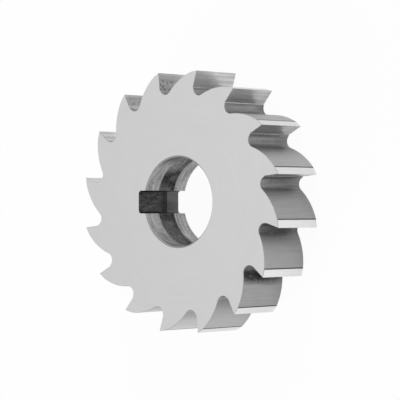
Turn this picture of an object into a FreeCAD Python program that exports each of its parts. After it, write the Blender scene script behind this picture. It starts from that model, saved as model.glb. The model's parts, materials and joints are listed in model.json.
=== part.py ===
import FreeCAD, Part
import math
import os

# Plain milling cutter: a ring of tool steel with straight teeth all round its rim.
# It lies on one side face with the bore upright, and seen from above its teeth lead
# clockwise. The origin is the bore's centre on the lower face. Sizes in millimetres,
# angles in degrees.

outside_diameter = 80.0
width = 18.0
bore_diameter = 27.0

# The teeth.
tooth_count = 16
tooth_depth = 7.1       # from the cutting circle down to the bottom of the gullet
rake_angle = 6.0        # undercut of the cutting face
land_length = 2.3       # ground strip behind the cutting edge
land_relief = 18.0      # fall of that strip behind the cutting circle
heel_slope = 27.0       # slope at which the convex back leaves the strip
gullet_radius = 2.2
grinding_stock = 0.15   # what the grinding of the cutting face took off the milled tooth
grinding_overrun = 0.5  # how far that grinding runs down into the gullet's curve

# The bore: two ground lands with a turned recess between them, and a drive keyway.
bore_land_length = 5.6
recess_depth = 0.7
bore_chamfer = 0.5
keyway_width = 7.0
keyway_height = 29.8    # from the keyway's floor to the far side of the bore
keyway_corner_radius = 1.0

outside_radius = outside_diameter / 2
bore_radius = bore_diameter / 2
pitch = 360.0 / tooth_count
keyway_direction = 180.0
up = FreeCAD.Vector(0, 0, 1)
centre = FreeCAD.Vector(0, 0, 0)


def direction(angle):
    return FreeCAD.Vector(math.cos(math.radians(angle)), math.sin(math.radians(angle)), 0)


def turned(thing, angle):
    copy = thing.copy()
    copy.rotate(centre, up, angle)
    return copy


def short_arc(middle, start, end):
    # The arc round middle from start to end, the short way.
    halfway = (start - middle) + (end - middle)
    halfway.normalize()
    crown = middle + halfway * (start - middle).Length
    return Part.Arc(start, crown, end).toShape()


def tooth_outline():
    # One pitch of the rim, drawn with a cutting edge straight above the centre: down
    # its cutting face, round the gullet, up the back of the tooth in front and along
    # that tooth's land to its cutting edge.
    edge = direction(90) * outside_radius
    down = direction(270 - rake_angle)
    forward = direction(-rake_angle)

    # The gullet touches the milled cutting face, which stood proud of the ground one.
    face_offset = grinding_stock + gullet_radius
    gullet_circle = outside_radius - tooth_depth + gullet_radius
    start = edge + forward * face_offset
    slant = start.dot(down)
    reach = -slant - math.sqrt(slant ** 2 - start.dot(start) + gullet_circle ** 2)
    gullet_centre = start + down * reach

    # Where the grinding stops, a fine ledge is left across the gullet's curve.
    ground_end = edge + down * (reach + grinding_overrun)
    ledge = face_offset - math.sqrt(gullet_radius ** 2 - grinding_overrun ** 2)
    ledge_end = ground_end + forward * ledge

    # The land of the tooth in front, one pitch clockwise, down to its heel.
    next_edge = direction(90 - pitch) * outside_radius
    heel = next_edge + direction(180 + land_relief - pitch) * land_length

    # One convex curve forms the back: it leaves the heel at its slope and runs
    # smoothly into the gullet, which fixes its radius.
    inward = direction(270 + heel_slope - pitch)
    span = heel - gullet_centre
    back_radius = (span.dot(span) - gullet_radius ** 2) / (2 * (gullet_radius - span.dot(inward)))
    back_centre = heel + inward * back_radius
    share = gullet_radius / (gullet_radius + back_radius)
    gullet_end = gullet_centre + (back_centre - gullet_centre) * share

    return [
        Part.makeLine(edge, ground_end),
        Part.makeLine(ground_end, ledge_end),
        short_arc(gullet_centre, ledge_end, gullet_end),
        short_arc(back_centre, gullet_end, heel),
        Part.makeLine(heel, next_edge),
    ]


def toothed_disc():
    # The keyway lies midway between two cutting edges.
    first = keyway_direction + pitch / 2 - 90
    outline = [
        turned(line, first - tooth * pitch)
        for tooth in range(tooth_count)
        for line in tooth_outline()
    ]
    return Part.Face(Part.Wire(outline)).extrude(up * width)


def bore_space():
    # Half section of the bore, turned about its axis: chamfer, land, recess, land,
    # chamfer. It runs past both faces in line with the chamfers.
    mouth = bore_radius + 2 * bore_chamfer
    recess = bore_radius + recess_depth
    section = [
        (0, -bore_chamfer),
        (mouth, -bore_chamfer),
        (bore_radius, bore_chamfer),
        (bore_radius, bore_land_length),
        (recess, bore_land_length),
        (recess, width - bore_land_length),
        (bore_radius, width - bore_land_length),
        (bore_radius, width - bore_chamfer),
        (mouth, width + bore_chamfer),
        (0, width + bore_chamfer),
    ]
    corners = [FreeCAD.Vector(radius, 0, height) for radius, height in section]
    face = Part.Face(Part.makePolygon(corners + corners[:1]))
    return face.revolve(centre, up, 360)


def keyway_space():
    # A slot from the bore's axis out to the keyway's floor, with rounded corners
    # there, broached right through after the chamfers.
    floor = keyway_height - bore_radius
    side = keyway_width / 2
    corner = keyway_corner_radius
    point = FreeCAD.Vector
    outline = [
        Part.makeLine(point(0, -side, 0), point(floor - corner, -side, 0)),
        short_arc(
            point(floor - corner, corner - side, 0),
            point(floor - corner, -side, 0),
            point(floor, corner - side, 0),
        ),
        Part.makeLine(point(floor, corner - side, 0), point(floor, side - corner, 0)),
        short_arc(
            point(floor - corner, side - corner, 0),
            point(floor, side - corner, 0),
            point(floor - corner, side, 0),
        ),
        Part.makeLine(point(floor - corner, side, 0), point(0, side, 0)),
        Part.makeLine(point(0, side, 0), point(0, -side, 0)),
    ]
    slot = Part.Face(Part.Wire(outline)).extrude(up * width)
    return turned(slot, keyway_direction)


cutter = toothed_disc().cut(bore_space()).cut(keyway_space())

os.makedirs("parts", exist_ok=True)
cutter.exportStep("parts/milling_cutter.step")
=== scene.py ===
import json
import math

import bmesh
import bpy
from mathutils import Matrix, Vector


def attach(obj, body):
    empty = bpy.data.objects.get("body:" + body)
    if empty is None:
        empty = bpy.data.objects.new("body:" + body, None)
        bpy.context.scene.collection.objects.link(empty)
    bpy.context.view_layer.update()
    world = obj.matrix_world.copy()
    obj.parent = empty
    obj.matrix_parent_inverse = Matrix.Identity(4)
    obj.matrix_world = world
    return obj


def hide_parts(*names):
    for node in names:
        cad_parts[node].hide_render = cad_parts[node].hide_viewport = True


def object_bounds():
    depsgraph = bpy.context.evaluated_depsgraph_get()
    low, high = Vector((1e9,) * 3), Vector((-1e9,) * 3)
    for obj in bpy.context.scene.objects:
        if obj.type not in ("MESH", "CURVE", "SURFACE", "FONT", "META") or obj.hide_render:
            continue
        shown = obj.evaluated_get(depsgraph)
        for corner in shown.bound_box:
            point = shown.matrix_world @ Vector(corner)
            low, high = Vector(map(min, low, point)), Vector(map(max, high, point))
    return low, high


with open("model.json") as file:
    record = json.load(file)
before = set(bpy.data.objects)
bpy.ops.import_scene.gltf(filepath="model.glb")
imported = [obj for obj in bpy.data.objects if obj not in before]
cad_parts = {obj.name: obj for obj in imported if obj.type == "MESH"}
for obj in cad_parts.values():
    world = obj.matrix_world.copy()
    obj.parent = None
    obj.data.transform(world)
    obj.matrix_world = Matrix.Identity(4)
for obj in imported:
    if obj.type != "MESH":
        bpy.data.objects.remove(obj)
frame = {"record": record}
cad_low, cad_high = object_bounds()

# The cutter is one ring of high-speed steel that slides on a milling arbor. It was turned
# and milled to shape, hardened, and then ground wherever it cuts or fits. All its surfaces
# are built into one closed mesh, each with its operation's finish, some with painted light and
# shade.
cutter_shape = bmesh.new()
cutter_finishes = []

# The rim's teeth were milled with a form cutter, which left satin backs and gullets with
# marks along the axis. After hardening a wheel ground each cutting face and the narrow land
# behind its edge. A narrow dark strip lies at each heel. A stone broke all the sharp rims.
tooth_count = 16
pitch = 2 * math.pi / tooth_count
outside_radius = cad_high.x / math.cos(pitch / 2)
width = cad_high.z
tooth_depth = 0.0071
rake_angle = math.radians(6)
land_length = 0.0023
land_relief = math.radians(18)
heel_slope = math.radians(27)
gullet_radius = 0.0022
grinding_stock = 0.00015
grinding_overrun = 0.0005
heel_strip = 0.0004
edge_break = 0.0001
curve_step = math.radians(4)


def direction(angle):
    return Vector((math.cos(angle), math.sin(angle)))


def arc_points(middle, start, end):
    # The arc round middle from start to end, the short way, without its first point.
    turn = -(start - middle).angle_signed(end - middle)
    steps = max(2, math.ceil(abs(turn) / curve_step))
    return [
        middle + Matrix.Rotation(turn * step / steps, 2) @ (start - middle)
        for step in range(1, steps + 1)
    ]


def tooth_outline():
    # One pitch of the rim, drawn with a cutting edge straight above the centre: pairs of a
    # point and the surface that leads to it.
    edge = direction(math.radians(90)) * outside_radius
    down = direction(math.radians(270) - rake_angle)
    forward = direction(-rake_angle)
    face_offset = grinding_stock + gullet_radius
    gullet_circle = outside_radius - tooth_depth + gullet_radius
    start = edge + forward * face_offset
    slant = start.dot(down)
    reach = -slant - math.sqrt(slant ** 2 - start.dot(start) + gullet_circle ** 2)
    gullet_centre = start + down * reach
    ground_end = edge + down * (reach + grinding_overrun)
    ledge = face_offset - math.sqrt(gullet_radius ** 2 - grinding_overrun ** 2)
    ledge_end = ground_end + forward * ledge
    next_edge = direction(math.radians(90) - pitch) * outside_radius
    heel = next_edge + direction(math.radians(180) + land_relief - pitch) * land_length
    inward = direction(math.radians(270) + heel_slope - pitch)
    span = heel - gullet_centre
    back_radius = (span.dot(span) - gullet_radius ** 2) / (2 * (gullet_radius - span.dot(inward)))
    back_centre = heel + inward * back_radius
    share = gullet_radius / (gullet_radius + back_radius)
    gullet_end = gullet_centre + (back_centre - gullet_centre) * share
    strip_turn = Matrix.Rotation(heel_strip / back_radius, 2)
    strip_start = back_centre + strip_turn @ (heel - back_centre)
    outline = [(ground_end, "cutting face"), (ledge_end, "ledge")]
    outline += [(point, "gullet") for point in arc_points(gullet_centre, ledge_end, gullet_end)]
    outline += [(point, "back") for point in arc_points(back_centre, gullet_end, strip_start)]
    outline += [(heel, "heel"), (next_edge, "land")]
    return outline


# The keyway points along -X, midway between two cutting edges.
keyway_direction = math.radians(180)
first_tooth = keyway_direction + pitch / 2 - math.radians(90)
rim = [
    (Matrix.Rotation(first_tooth - tooth * pitch, 2) @ point, surface)
    for tooth in range(tooth_count)
    for point, surface in tooth_outline()
]


def inside_break(index):
    # The rim's point moved into the steel by the edge break, square to both its neighbours.
    point = rim[index][0]
    before = (point - rim[index - 1][0]).normalized()
    after = (rim[(index + 1) % len(rim)][0] - point).normalized()
    inward_before = Vector((before.y, -before.x))
    inward_after = Vector((after.y, -after.x))
    share = edge_break / (1 + inward_before.dot(inward_after))
    return point + (inward_before + inward_after) * share


full_rim = [point for point, surface in rim]
broken_rim = [inside_break(index) for index in range(len(rim))]
rim_section = [
    (0, broken_rim),
    (edge_break, full_rim),
    (width - edge_break, full_rim),
    (width, broken_rim),
]
rim_rings = [
    [cutter_shape.verts.new((*point, height)) for point in points]
    for height, points in rim_section
]

# All of its steel varies between these strengths of the grain, and a little in clouds.
grain_low = 0.3
grain_high = 0.7
grain_roughness = 0.6
cloud_width = 0.006
cloud_share = 0.3
speck_size = 0.0009
speck_start = 0.5
speck_end = 0.66

# Places are made darker or lighter. On the rim these are painted shade and painted
# reflection, and in the recess a painted highlight. A mark is at full strength in the inner
# share of its reach, and it is longer along the axis than across.
full_share = 0.4
axial_share = 0.35
patchy_start = 0.35
patchy_thin_share = 0.7
shade_band_waviness = 0.006
shade_band_fade = 0.0008
shade_band_tone = 0.45
freckled_place = (-0.0145, 0.0345, 0.016)
freckled_reach = 0.0145
freckled_radius = 0.0385
freckled_fade = 0.001
freckle_spacing = 0.0014
freckle_core = 0.22
freckle_rim = 0.42
between_freckles = 0.25
root_radius = 0.0335
root_end_radius = 0.0358


def fed(node, inputs):
    # Puts a value or a link into each named socket of a node, and gives its first output.
    for socket, value in inputs.items():
        if isinstance(value, bpy.types.NodeSocket):
            node.id_data.links.new(value, node.inputs[socket])
        else:
            node.inputs[socket].default_value = value
    return node.outputs[0] if node.outputs else None


def worked(nodes, operation, *values):
    node = nodes.new("ShaderNodeMath")
    node.operation = operation
    return fed(node, dict(enumerate(values)))


def ramped(nodes, value, start, end, start_gives, end_gives):
    node = nodes.new("ShaderNodeMapRange")
    return fed(node, {
        "Value": value, "From Min": start, "From Max": end,
        "To Min": start_gives, "To Max": end_gives,
    })


def grain(nodes, place, size, detail):
    node = nodes.new("ShaderNodeTexNoise")
    scale = {"Scale": 1 / size, "Detail": detail, "Roughness": grain_roughness}
    return fed(node, {"Vector": place, **scale})


def near(nodes, place, middle, reach):
    # 1 round the middle and 0 beyond the reach, which is longer along the axis.
    flattened = nodes.new("ShaderNodeVectorMath")
    flattened.operation = "MULTIPLY"
    distance = nodes.new("ShaderNodeVectorMath")
    distance.operation = "DISTANCE"
    middle = Vector(middle) * Vector((1, 1, axial_share))
    fed(distance, {0: fed(flattened, {0: place, 1: (1, 1, axial_share)}), 1: middle})
    return ramped(nodes, distance.outputs["Value"], reach * full_share, reach, 1, 0)


def machined_steel(
    name, colour, roughness, lay, mark_width, mark_length, contrast, depth,
    specks=0, freckles=0, darkened=(), painted_light=(), root_shade=0, shade_band_below=0,
):
    # Bare steel with the marks of a tool or wheel. An axial lay runs along the axis, a round
    # lay runs round it. The contrast is the share by which the marks vary the colour and the
    # roughness, and the depth is their height. Small dull specks, and freckles on one side of
    # the cutter alone, take off their share of the colour, and so does the painted shade at a
    # tooth's root. A darkened or a painted-light place has its middle, its reach and the share of
    # the colour taken off or added there; on the rim and in the keyway these are painted shade
    # and painted reflection. Below the shade band's height the colour is darker, a painted shade.
    material = bpy.data.materials.new(name)
    material.use_nodes = True
    nodes = material.node_tree.nodes
    place = nodes.new("ShaderNodeTexCoord").outputs["Object"]
    split = nodes.new("ShaderNodeSeparateXYZ")
    fed(split, {0: place})
    x, y, height = split.outputs
    radius = worked(nodes, "MULTIPLY_ADD", x, x, worked(nodes, "MULTIPLY", y, y))
    radius = worked(nodes, "SQRT", radius)
    east = worked(nodes, "DIVIDE", x, radius)
    north = worked(nodes, "DIVIDE", y, radius)

    # On a side face and in the bore alike, distance from the axis plus height changes across
    # a round lay, and the direction from the axis changes along it.
    lay_place = nodes.new("ShaderNodeCombineXYZ")
    if lay == "axial":
        parts = (x, 1 / mark_width), (y, 1 / mark_width), (height, 1 / mark_length)
    else:
        turns = outside_radius / mark_length
        across = worked(nodes, "ADD", radius, height)
        parts = (east, turns), (north, turns), (across, 1 / mark_width)
    for socket, (part, scale) in enumerate(parts):
        fed(lay_place, {socket: worked(nodes, "MULTIPLY", part, scale)})
    marks = grain(nodes, lay_place.outputs[0], size=1, detail=4)

    # A faint cloudiness lies over the marks.
    clouds = grain(nodes, place, cloud_width, detail=2)
    cloudy = worked(nodes, "MULTIPLY", clouds, cloud_share)
    cloudy = worked(nodes, "MULTIPLY_ADD", marks, 1 - cloud_share, cloudy)
    more, less = 1 + contrast, 1 - contrast
    tone = ramped(nodes, cloudy, grain_low, grain_high, colour * less, colour * more)
    dullness = ramped(nodes, cloudy, grain_low, grain_high, roughness * more, roughness * less)

    patches = grain(nodes, place, speck_size, detail=3)
    if specks:
        speckled = ramped(nodes, patches, speck_start, speck_end, 1, 1 - specks)
        tone = worked(nodes, "MULTIPLY", tone, speckled)
    if freckles:
        here = near(nodes, place, freckled_place, freckled_reach)
        inner = ramped(nodes, radius, freckled_radius - freckled_fade, freckled_radius, 1, 0)
        spots = nodes.new("ShaderNodeTexVoronoi")
        distance = fed(spots, {"Vector": place, "Scale": 1 / freckle_spacing})
        freckled = ramped(
            nodes, distance, freckle_core, freckle_rim, freckles, freckles * between_freckles,
        )
        freckled = worked(nodes, "MULTIPLY", worked(nodes, "MULTIPLY", here, inner), freckled)
        tone = worked(nodes, "MULTIPLY", tone, worked(nodes, "SUBTRACT", 1, freckled))
    # Darkened places: painted shade on the rim and in the keyway.
    for middle, reach, share in darkened:
        here = near(nodes, place, middle, reach)
        patchy = ramped(nodes, patches, patchy_start, speck_start, share * patchy_thin_share, share)
        dark = worked(nodes, "MULTIPLY", here, patchy)
        tone = worked(nodes, "MULTIPLY", tone, worked(nodes, "SUBTRACT", 1, dark))
    # Painted light: painted reflection on the rim and a painted highlight in the recess.
    for middle, reach, share in painted_light:
        here = near(nodes, place, middle, reach)
        tone = worked(nodes, "MULTIPLY", tone, worked(nodes, "MULTIPLY_ADD", here, share, 1))
    if root_shade:
        shaded = ramped(nodes, radius, root_radius, root_end_radius, 1 - root_shade, 1)
        tone = worked(nodes, "MULTIPLY", tone, shaded)
    # A painted shade band below the given height.
    if shade_band_below:
        uneven = worked(nodes, "MULTIPLY_ADD", patches, shade_band_waviness, height)
        line = shade_band_below + shade_band_waviness / 2
        black = ramped(nodes, uneven, line - shade_band_fade, line + shade_band_fade, shade_band_tone, 1)
        tone = worked(nodes, "MULTIPLY", tone, black)

    relief = nodes.new("ShaderNodeBump")
    fed(nodes["Principled BSDF"], {
        "Metallic": 1, "Base Color": tone, "Roughness": dullness,
        "Normal": fed(relief, {"Distance": depth, "Height": marks}),
    })
    cutter_finishes.append(material)
    return len(cutter_finishes) - 1


# Painted shade and painted reflection on the rim: the darker places stand in for shadow and
# dark reflections in the gullets and on the faces, and the lighter ones for bright reflections.
painted_shade_faces = [
    ((-0.0211, 0.0316, 0.0140), 0.0032, 0.35),
    ((-0.0077, 0.0383, 0.0155), 0.0034, 0.20),
]
# Painted reflection on the cutting faces.
painted_light_faces = [
    ((0.0073, 0.0370, 0.0090), 0.0120, 0.18),
    ((0.0365, 0.0073, 0.0130), 0.0090, 0.22),
]
# Painted shade on the ledges.
painted_shade_ledges = [
    ((0.0339, 0.0071, 0.0090), 0.0080, 0.70),
    ((0.0287, 0.0197, 0.0090), 0.0090, 0.45),
]
# Painted shade in the roots of the gullets and backs.
painted_shade_roots = [
    ((0.0259, -0.0217, 0.0135), 0.0032, 0.83),
    ((0.0260, -0.0221, 0.0060), 0.0033, 0.70),
    ((0.0323, -0.0073, 0.0120), 0.0036, 0.62),
    ((0.0323, -0.0073, 0.0050), 0.0034, 0.35),
    ((0.0320, -0.0100, 0.0100), 0.0060, 0.15),
    ((0.0332, 0.0066, 0.0090), 0.0044, 0.15),
    ((0.0318, -0.0084, 0.0065), 0.0016, 0.30),
    ((0.0325, 0.0047, 0.0090), 0.0024, 0.18),
    ((0.0188, 0.0279, 0.0000), 0.0018, 0.22),
]
# Painted reflection on the roots and backs.
painted_light_roots = [((-0.0095, -0.0350, 0.0090), 0.0185, 0.70)]
painted_light_backs = painted_light_roots + [
    ((0.0115, -0.0385, 0.0090), 0.0090, 0.34),
    ((0.0290, 0.0260, 0.0090), 0.0110, 0.38),
    ((0.0370, 0.0120, 0.0090), 0.0080, 0.30),
]

rim_finishes = {
    "cutting face": machined_steel(
        "ground_cutting_face", colour=0.64, roughness=0.3, lay="axial", mark_width=0.0008,
        mark_length=0.03, contrast=0.28, depth=0.00003, freckles=0.65, darkened=painted_shade_faces,
        painted_light=painted_light_faces,
    ),
    # The gullet is the back's milled steel, coloured darker as painted shade in the hollow.
    "gullet": machined_steel(
        "milled_gullet", colour=0.34, roughness=0.45, lay="axial", mark_width=0.0006,
        mark_length=0.012, contrast=0.3, depth=0.00001, specks=0.1, darkened=painted_shade_roots,
        painted_light=painted_light_roots,
    ),
    "back": machined_steel(
        "milled_back", colour=0.425, roughness=0.45, lay="axial", mark_width=0.0005,
        mark_length=0.015, contrast=0.08, depth=0.00001, darkened=painted_shade_roots, painted_light=painted_light_backs,
        root_shade=0.22,
    ),
    "heel": machined_steel(
        "heel_strip", colour=0.12, roughness=0.5, lay="axial", mark_width=0.0002,
        mark_length=0.006, contrast=0.2, depth=0.000005,
    ),
    "land": machined_steel(
        "ground_land", colour=0.94, roughness=0.3, lay="axial", mark_width=0.0005,
        mark_length=0.02, contrast=0.06, depth=0.000005,
    ),
    "ledge": machined_steel(
        "ground_ledge", colour=0.95, roughness=0.3, lay="axial", mark_width=0.0003,
        mark_length=0.01, contrast=0.2, depth=0.000005, darkened=painted_shade_ledges,
    ),
}
edge_finish = machined_steel(
    "stoned_edge", colour=0.45, roughness=0.65, lay="round", mark_width=0.0003,
    mark_length=0.003, contrast=0.1, depth=0.000005,
)


def join_rows(lower, upper, finishes):
    # Walls between two rows of corners that run side by side, one finish for each wall. As
    # many finishes as corners close the ring.
    for here, finish in enumerate(finishes):
        ahead = (here + 1) % len(lower)
        corners = (lower[here], lower[ahead], upper[ahead], upper[here])
        cutter_shape.faces.new(corners).material_index = finish


broken_edges = [edge_finish] * len(rim)
rim_walls = [rim_finishes[surface] for point, surface in rim[1:] + rim[:1]]
join_rows(rim_rings[0], rim_rings[1], broken_edges)
join_rows(rim_rings[1], rim_rings[2], rim_walls)
join_rows(rim_rings[2], rim_rings[3], broken_edges)

# The bore was turned with a recess in its middle, so that only the two lands had to be ground
# to fit the arbor. The drive keyway was broached through all of it. It is left rough and dark,
# partly the broached steel and partly painted shade of the deep slot, with painted light near the
# rear face.
bore_radius = next(
    mount["dims"]["r_mm"] / 1000
    for mount in frame["record"]["mounts"] if mount["name"] == "arbor_bore"
)
bore_land_length = 0.0056
recess_depth = 0.0007
bore_chamfer = 0.0005
keyway_half_width = 0.0035
keyway_floor = 0.0163
keyway_corner = 0.001
# Below the first height the keyway is painted light, and above it the floor has a band of painted
# shade up to the second.
keyway_painted_light_end = 0.0052
keyway_shade_band_end = 0.0078
bore_steps = 120
# The bore's lands and recess are darker in these places.
darker_bore_lands = [
    ((-0.0035, 0.0130, 0.0160), 0.0045, 0.40),
    ((-0.0077, -0.0110, 0.0115), 0.0030, 0.30),
]
darker_recess_places = [
    ((-0.0122, 0.0072, 0.0080), 0.0038, 0.62),
    ((-0.0135, -0.0046, 0.0080), 0.0018, 0.60),
]
# A painted highlight in the recess.
painted_light_recess = [
    ((-0.0076, 0.0120, 0.0080), 0.0060, 1.1),
    ((-0.0120, 0.0074, 0.0018), 0.0026, 2.2),
]
# A painted shade spot on the keyway floor.
keyway_shade_spot = [((-0.0162, -0.0012, 0.0056), 0.0024, 0.40)]

bore_land_finish = machined_steel(
    "ground_bore", colour=0.54, roughness=0.35, lay="round", mark_width=0.0008,
    mark_length=0.02, contrast=0.45, depth=0.000005, specks=0.3, darkened=darker_bore_lands,
)
turned_finish = machined_steel(
    "turned_recess", colour=0.205, roughness=0.5, lay="round", mark_width=0.0004,
    mark_length=0.008, contrast=0.35, depth=0.00002, specks=0.6, darkened=darker_recess_places,
    painted_light=painted_light_recess,
)
# Dark, partly as painted shade of the deep slot, with a band of painted shade low down.
broached_finish = machined_steel(
    "broached_keyway", colour=0.13, roughness=0.5, lay="axial", mark_width=0.0008,
    mark_length=0.003, contrast=0.35, depth=0.00002, specks=0.6, shade_band_below=keyway_shade_band_end,
)
# Painted shade in the keyway's corners and on its walls.
keyway_shade_finish = machined_steel(
    "painted_shade_keyway", colour=0.09, roughness=0.5, lay="axial", mark_width=0.0008,
    mark_length=0.003, contrast=0.35, depth=0.00002, specks=0.5,
)
# Painted light at the keyway's rear end.
painted_light_keyway_finish = machined_steel(
    "painted_light_keyway", colour=0.20, roughness=0.4, lay="axial", mark_width=0.0008,
    mark_length=0.01, contrast=0.06, depth=0.00001, darkened=keyway_shade_spot,
)
chamfer_finish = machined_steel(
    "turned_chamfer", colour=0.48, roughness=0.7, lay="round", mark_width=0.0003,
    mark_length=0.008, contrast=0.2, depth=0.000005,
)

mouth_radius = bore_radius + bore_chamfer
recess_radius = bore_radius + recess_depth
bore_section = [
    (mouth_radius, 0, None),
    (bore_radius, bore_chamfer, chamfer_finish),
    (bore_radius, bore_land_length, bore_land_finish),
    (recess_radius, bore_land_length, bore_land_finish),
    (recess_radius, width - bore_land_length, turned_finish),
    (bore_radius, width - bore_land_length, turned_finish),
    (bore_radius, width - bore_chamfer, bore_land_finish),
    (mouth_radius, width, chamfer_finish),
]


def bore_ring(radius, height):
    # From one wall of the keyway round the bore to the other wall.
    opening = math.asin(keyway_half_width / radius)
    first = opening - keyway_direction
    sweep = 2 * (math.pi - opening)
    return [
        cutter_shape.verts.new((*direction(first + sweep * step / bore_steps) * radius, height))
        for step in range(bore_steps + 1)
    ]


bore_rings = [bore_ring(radius, height) for radius, height, finish in bore_section]
for level in range(1, len(bore_rings)):
    lower, upper = bore_rings[level - 1], bore_rings[level]
    join_rows(lower, upper, [bore_section[level][2]] * bore_steps)

corner_depth = keyway_floor - keyway_corner
corner_side = keyway_half_width - keyway_corner
upper_corner = arc_points(
    Vector((-corner_depth, corner_side)),
    Vector((-corner_depth, keyway_half_width)),
    Vector((-keyway_floor, corner_side)),
)
lower_corner = arc_points(
    Vector((-corner_depth, -corner_side)),
    Vector((-keyway_floor, -corner_side)),
    Vector((-corner_depth, -keyway_half_width)),
)
keyway_outline = [
    Vector((-corner_depth, keyway_half_width)), *upper_corner,
    Vector((-keyway_floor, -corner_side)), *lower_corner,
]

# The rear end's floor and corners alike take the painted light. Past it the corners are painted
# darker, a painted shade.
shaded_corner_steps = len(upper_corner) * 2 // 3
floor_steps = len(keyway_outline) - 1 - 2 * shaded_corner_steps
keyway_section = [
    (0, None, None),
    (keyway_painted_light_end, painted_light_keyway_finish, painted_light_keyway_finish),
    (width, broached_finish, keyway_shade_finish),
]
keyway_rings = [
    [cutter_shape.verts.new((*point, height)) for point in keyway_outline]
    for height, floor_finish, corner_finish in keyway_section
]
for level in range(1, len(keyway_rings)):
    lower, upper = keyway_rings[level - 1], keyway_rings[level]
    floor_finish, corner_finish = keyway_section[level][1:]
    floor_walls = [floor_finish] * floor_steps
    corner_walls = [corner_finish] * shaded_corner_steps
    join_rows(lower, upper, corner_walls + floor_walls + corner_walls)

# The keyway's two walls are flat, each from the floor's corner to the bore's own edge.
# The walls take the keyway's painted shade.
for side in (0, -1):
    outer = [ring[side] for ring in reversed(keyway_rings)]
    inner = [ring[-1 - side] for ring in bore_rings]
    cutter_shape.faces.new(outer + inner).material_index = keyway_shade_finish

# Both side faces were ground flat and parallel on a rotary table, which left very fine rings
# round the axis. They fill the space between the teeth and the bore's mouth.
same_height = 1e-9
sharp_angle = math.radians(7)
side_finish = machined_steel(
    "ground_side_face", colour=0.59, roughness=0.48, lay="round", mark_width=0.0004,
    mark_length=0.03, contrast=0.02, depth=0.000002,
)
for height in (0, width):
    open_edges = [
        edge for edge in cutter_shape.edges
        if len(edge.link_faces) < 2
        and all(abs(vert.co.z - height) < same_height for vert in edge.verts)
    ]
    filled = bmesh.ops.triangle_fill(cutter_shape, use_beauty=True, edges=open_edges)
    for face in filled["geom"]:
        if isinstance(face, bmesh.types.BMFace):
            face.material_index = side_finish

bmesh.ops.recalc_face_normals(cutter_shape, faces=cutter_shape.faces)
for face in cutter_shape.faces:
    face.smooth = True
cutter_data = bpy.data.meshes.new("cutter")
cutter_shape.to_mesh(cutter_data)
cutter_shape.free()
for material in cutter_finishes:
    cutter_data.materials.append(material)
cutter_data.set_sharp_from_angle(angle=sharp_angle)
cutter = bpy.data.objects.new("cutter", cutter_data)
bpy.context.scene.collection.objects.link(cutter)
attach(cutter, "root")
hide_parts("milling_cutter")


# The floor is a plain white table top. A camera sees it nearly as plain white, and bare metal
# sees more of its light and shade. Both keep the cutter's shadow.
def white_share(nodes, to_camera, to_metal):
    # How much of plain white a ray sees. Rays that light the table see none.
    ray = nodes.new("ShaderNodeLightPath").outputs
    in_metal = worked(nodes, "MAXIMUM", ray["Is Glossy Ray"], ray["Is Transmission Ray"])
    in_metal = worked(nodes, "MULTIPLY", in_metal, to_metal)
    return worked(nodes, "MULTIPLY_ADD", ray["Is Camera Ray"], to_camera, in_metal)


floor_half = 4.0
table_colour = (0.8, 0.8, 0.8, 1)
floor_data = bpy.data.meshes.new("floor")
floor_data.from_pydata(
    [(-floor_half, -floor_half, 0), (floor_half, -floor_half, 0),
     (floor_half, floor_half, 0), (-floor_half, floor_half, 0)],
    [], [(0, 1, 2, 3)],
)
floor = bpy.data.objects.new("floor", floor_data)
bpy.context.scene.collection.objects.link(floor)
floor_paint = bpy.data.materials.new("white_table")
floor_paint.use_nodes = True
nodes = floor_paint.node_tree.nodes
nodes.remove(nodes["Principled BSDF"])
floor_share = white_share(nodes, to_camera=0.96, to_metal=0.5)
matt = fed(nodes.new("ShaderNodeBsdfDiffuse"), {"Color": table_colour})
white = fed(nodes.new("ShaderNodeEmission"), {"Strength": 1})
mixed = fed(nodes.new("ShaderNodeMixShader"), {0: floor_share, 1: matt, 2: white})
fed(nodes["Material Output"], {"Surface": mixed})
floor_data.materials.append(floor_paint)

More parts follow.
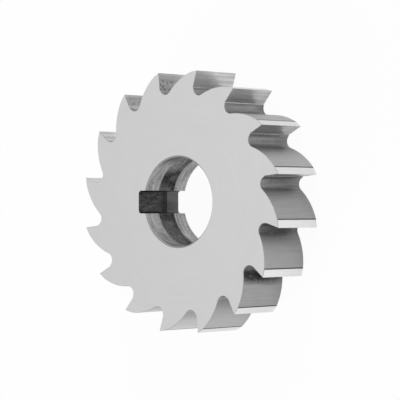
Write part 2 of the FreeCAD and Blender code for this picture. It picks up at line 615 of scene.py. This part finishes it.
# Soft studio light: an even pale room, two long low lamps beside the table and one over it.
# The low lamps light the table alone, so that the side faces don't glare from any side.
room_light = 0.25
world = bpy.data.worlds.new("studio")
bpy.context.scene.world = world
world.use_nodes = True
nodes = world.node_tree.nodes
world_share = white_share(nodes, to_camera=1, to_metal=0.78)
room = fed(nodes["Background"], {"Color": (room_light, room_light, room_light, 1)})
white = fed(nodes.new("ShaderNodeBackground"), {"Color": (1, 1, 1, 1)})
mixed = fed(nodes.new("ShaderNodeMixShader"), {0: world_share, 1: room, 2: white})
fed(nodes["World Output"], {"Surface": mixed})


def softbox(name, place, long_side, short_side, light, seen_in_metal):
    # A lamp aimed at the cutter. The light is what a surface turned to it receives, where 1
    # makes white paint render white.
    lamp = bpy.data.lights.new(name, "AREA")
    lamp.shape = "RECTANGLE"
    lamp.size = long_side
    lamp.size_y = short_side
    lamp.energy = light * math.pi ** 2 * Vector(place).length ** 2
    holder = bpy.data.objects.new(name, lamp)
    holder.location = place
    holder.rotation_euler = Vector(place).to_track_quat("Z", "Y").to_euler()
    holder.visible_glossy = seen_in_metal
    bpy.context.scene.collection.objects.link(holder)


softbox(
    "left_low", place=(-0.70, -1.10, 0.36), long_side=1.5, short_side=0.7, light=1.55,
    seen_in_metal=False,
)
softbox(
    "far_low", place=(0.15, 1.29, 0.36), long_side=1.0, short_side=0.7, light=1.22,
    seen_in_metal=False,
)
softbox(
    "overhead", place=(-0.50, 0.20, 1.15), long_side=1.1, short_side=0.7, light=0.11,
    seen_in_metal=True,
)

# The camera stands off the cutter's +X side and looks down on its upper face, turned so that
# +Y is up in the picture.
camera_data = bpy.data.cameras.new("camera")
camera_data.sensor_width = 36
camera_data.lens = 180.95
camera_place = Vector((0.40955, -0.00297, 0.46524))
camera_aim = Vector((0.00085, 0.00054, 0.00895))
camera_up = Vector((0.00649, 0.99998, 0.00178))
back = (camera_place - camera_aim).normalized()
right = camera_up.cross(back).normalized()
turned = Matrix((right, back.cross(right), back)).transposed()
camera = bpy.data.objects.new("camera", camera_data)
camera.matrix_world = Matrix.Translation(camera_place) @ turned.to_4x4()
bpy.context.scene.collection.objects.link(camera)
bpy.context.scene.camera = camera

bpy.context.scene.view_settings.view_transform = "Standard"
